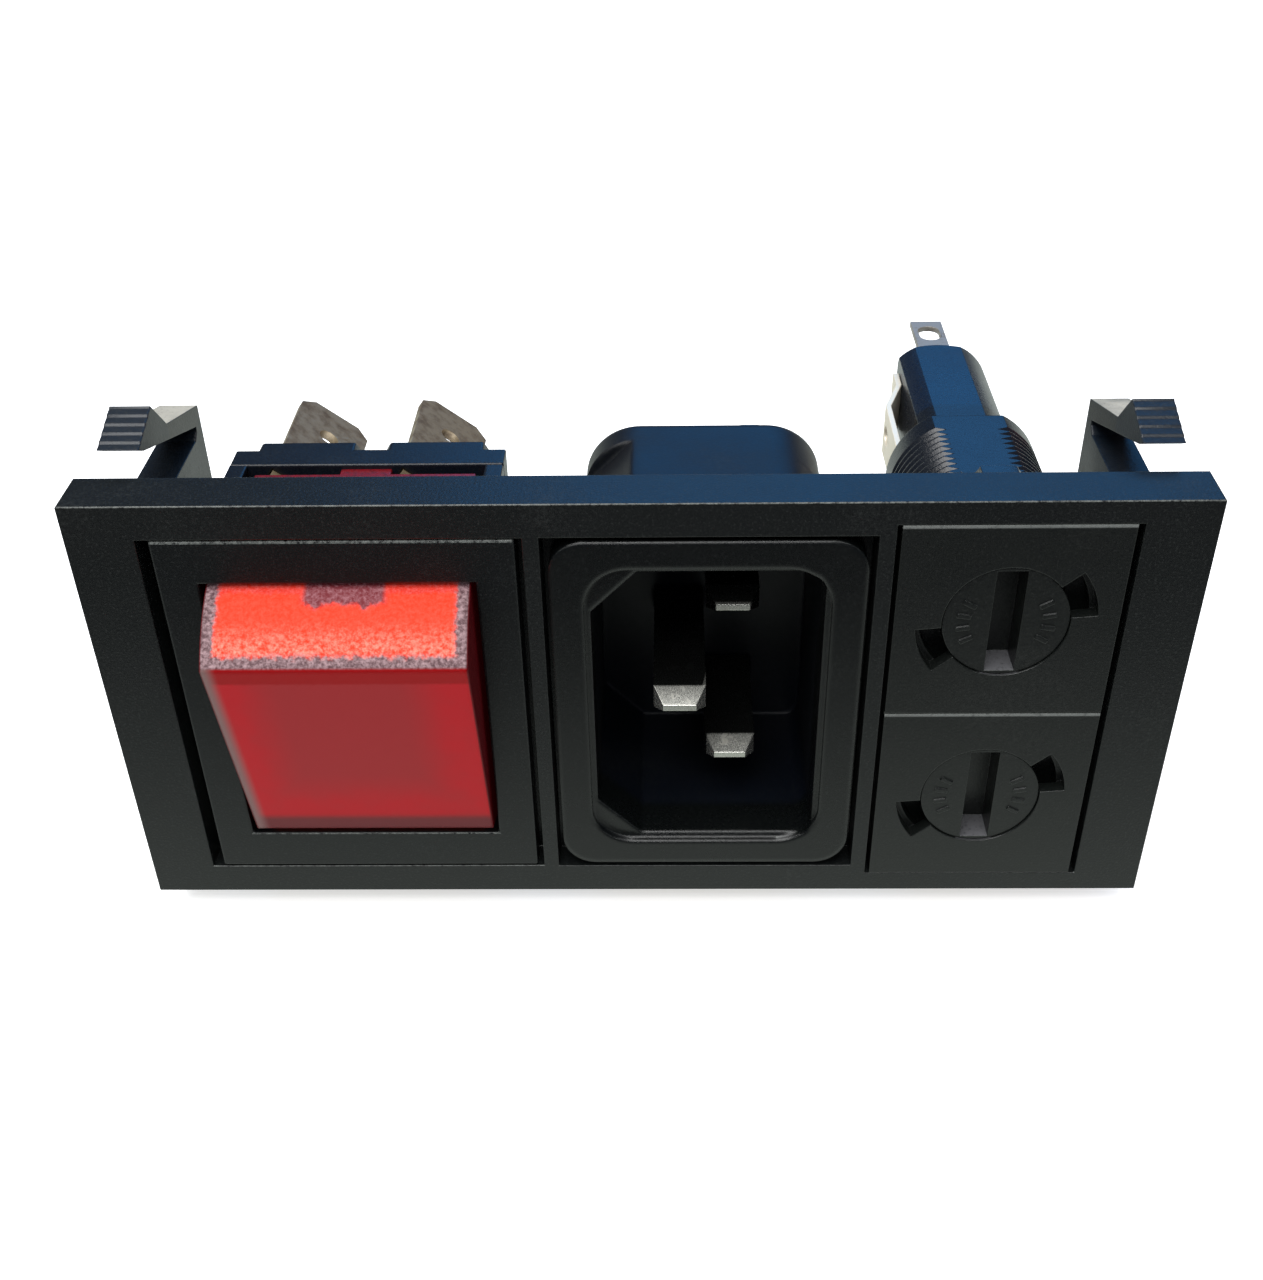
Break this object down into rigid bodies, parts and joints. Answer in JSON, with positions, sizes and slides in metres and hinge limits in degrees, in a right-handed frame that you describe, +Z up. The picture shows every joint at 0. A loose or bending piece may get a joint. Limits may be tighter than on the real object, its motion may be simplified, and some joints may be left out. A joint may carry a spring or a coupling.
{
  "type": "power entry module",
  "caption": "Snap-in panel power entry module: moulded frame with lighted rocker switch, appliance inlet and bayonet fuse holders.",
  "frame": {"origin": "centre of the front plate's rear face, the face that lies against the panel", "axes": "+X to the right along the plate, seen from the front; +Y from front to back, into the panel; +Z up the plate"},
  "size_m": [0.08, 0.0508, 0.0414],
  "materials": {
    "frame_plastic": "black moulded plastic with a fine grain",
    "switch_plastic": "black moulded plastic",
    "inlet_plastic": "black moulded plastic, smoother than the frame",
    "fuse_plastic": "black moulded plastic with a soft sheen",
    "rocker_plastic": "translucent red moulded plastic, finely frosted",
    "lamp_holder_plastic": "dark red moulded plastic",
    "plunger_plastic": "natural nylon",
    "lamp_glass": "small clear lamp glass",
    "resistor_body": "lacquered resistor",
    "spring_steel": "drawn wire",
    "contact_copper": "copper alloy strip",
    "tinned_brass": "tinned brass, a little tarnished",
    "nickelled_brass": "nickel-plated brass",
    "terminal_nickel": "nickel-plated brass strip",
    "ferrule_brass": "plated brass tube",
    "cap_metal": "nickel-plated cap",
    "fuse_glass": "clear glass tube",
    "fuse_element": "fine tinned wire"
  },
  "bodies": {
    "module": {"front_frame": "frame_plastic", "switch_housing": "switch_plastic", "switch_base": "switch_plastic", "lamp_holder": "lamp_holder_plastic", "neon_lamp": "lamp_glass", "lamp_resistor": "resistor_body", "left_switched_terminal": "tinned_brass", "right_switched_terminal": "tinned_brass", "left_common_terminal": "tinned_brass", "right_common_terminal": "tinned_brass", "inlet_housing": "inlet_plastic", "line_pin": "nickelled_brass", "neutral_pin": "nickelled_brass", "earth_pin": "nickelled_brass", "upper_fuse_body": "fuse_plastic", "upper_ring_nut": "fuse_plastic", "upper_end_terminal": "terminal_nickel", "upper_side_terminal": "terminal_nickel", "lower_fuse_body": "fuse_plastic", "lower_ring_nut": "fuse_plastic", "lower_end_terminal": "terminal_nickel", "lower_side_terminal": "terminal_nickel"},
    "rocker": {"rocker": "rocker_plastic", "left_plunger": "plunger_plastic", "right_plunger": "plunger_plastic", "left_plunger_spring": "spring_steel", "right_plunger_spring": "spring_steel"},
    "left_contact_bar": {"left_contact_bar": "contact_copper"},
    "right_contact_bar": {"right_contact_bar": "contact_copper"},
    "upper_carrier": {"upper_carrier": "fuse_plastic", "upper_carrier_ferrule": "ferrule_brass", "upper_carrier_spring": "spring_steel", "upper_fuse_tube": "fuse_glass", "upper_fuse_front_cap": "cap_metal", "upper_fuse_rear_cap": "cap_metal", "upper_fuse_wire": "fuse_element"},
    "lower_carrier": {"lower_carrier": "fuse_plastic", "lower_carrier_ferrule": "ferrule_brass", "lower_carrier_spring": "spring_steel", "lower_fuse_tube": "fuse_glass", "lower_fuse_front_cap": "cap_metal", "lower_fuse_rear_cap": "cap_metal", "lower_fuse_wire": "fuse_element"}
  },
  "joints": [
    {"name": "rocker_tilt", "type": "hinge", "parent": "module", "child": "rocker", "pos_m": [-0.02138, 0.0008, 0], "axis": [1, 0, 0], "range_deg": [-28.8, 0]},
    {"name": "left_bar_rock", "type": "hinge", "parent": "module", "child": "left_contact_bar", "pos_m": [-0.02647, 0.007, 0], "axis": [1, 0, 0], "range_deg": [0, 12]},
    {"name": "right_bar_rock", "type": "hinge", "parent": "module", "child": "right_contact_bar", "pos_m": [-0.01628, 0.007, 0], "axis": [1, 0, 0], "range_deg": [0, 12]},
    {"name": "upper_carrier_turn", "type": "hinge", "parent": "module", "child": "upper_carrier", "pos_m": [0.02633, 0, 0.0081], "axis": [0, 1, 0], "range_deg": [-70, 0]},
    {"name": "lower_carrier_turn", "type": "hinge", "parent": "module", "child": "lower_carrier", "pos_m": [0.02633, 0, -0.0081], "axis": [0, 1, 0], "range_deg": [-70, 0]}
  ],
  "couplings": [
    {"joint": "left_bar_rock", "follows": "rocker_tilt", "ratio": -0.41667},
    {"joint": "right_bar_rock", "follows": "rocker_tilt", "ratio": -0.41667}
  ]
}
